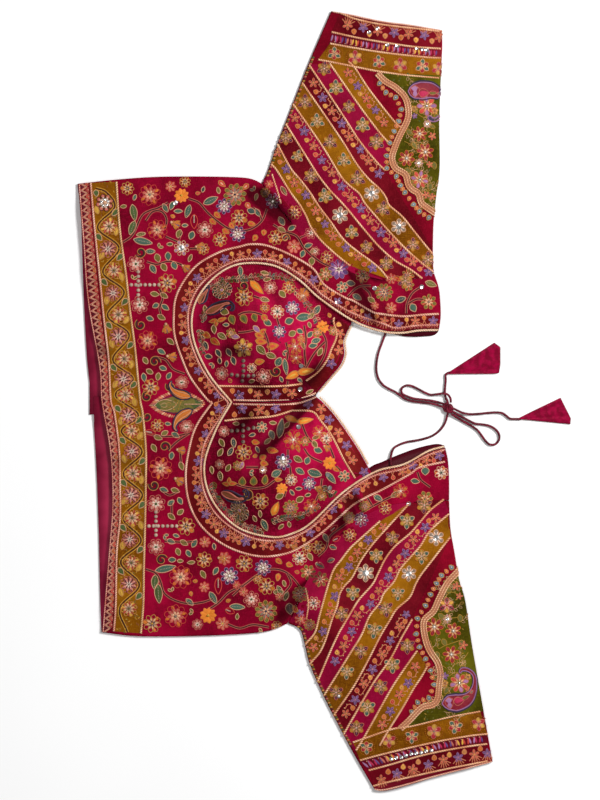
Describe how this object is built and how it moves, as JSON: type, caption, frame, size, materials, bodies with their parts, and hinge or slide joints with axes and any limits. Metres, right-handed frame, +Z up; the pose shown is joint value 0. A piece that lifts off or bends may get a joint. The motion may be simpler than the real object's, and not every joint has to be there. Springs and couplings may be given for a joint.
{
  "type": "choli blouse",
  "caption": "Cropped sari blouse with short sleeves, gathered bust cups in a deep scooped front, and a neck string tied in a bow, laid flat.",
  "frame": {"origin": "middle of the blouse's box, on the surface it lies on", "axes": "+X from the hem towards the neck, +Y towards the wearer's right sleeve, +Z up out of the front of the blouse"},
  "size_m": [0.4947, 0.7789, 0.027],
  "materials": {
    "outer_silk": "embroidered silk",
    "sleeve_silk": "embroidered silk",
    "lining": "plain weave",
    "cord_edging": "couched cord",
    "tie_string": "soft cotton string"
  },
  "bodies": {
    "root": {"front_panel": "outer_silk", "neck_piping": "cord_edging", "cup_right": "outer_silk", "cup_left": "outer_silk", "cup_piping_right": "cord_edging", "cup_piping_left": "cord_edging", "back_right": "lining", "back_left": "lining", "sleeve_right": "sleeve_silk", "sleeve_left": "sleeve_silk", "dori_right_lead": "tie_string", "dori_right_tail": "tie_string", "dori_left_lead": "tie_string", "dori_left_tail": "tie_string", "bow_loop_west": "tie_string", "bow_loop_east": "tie_string", "dori_knot": "tie_string", "tassel_right": "tie_string", "tassel_left": "tie_string"}
  },
  "joints": []
}
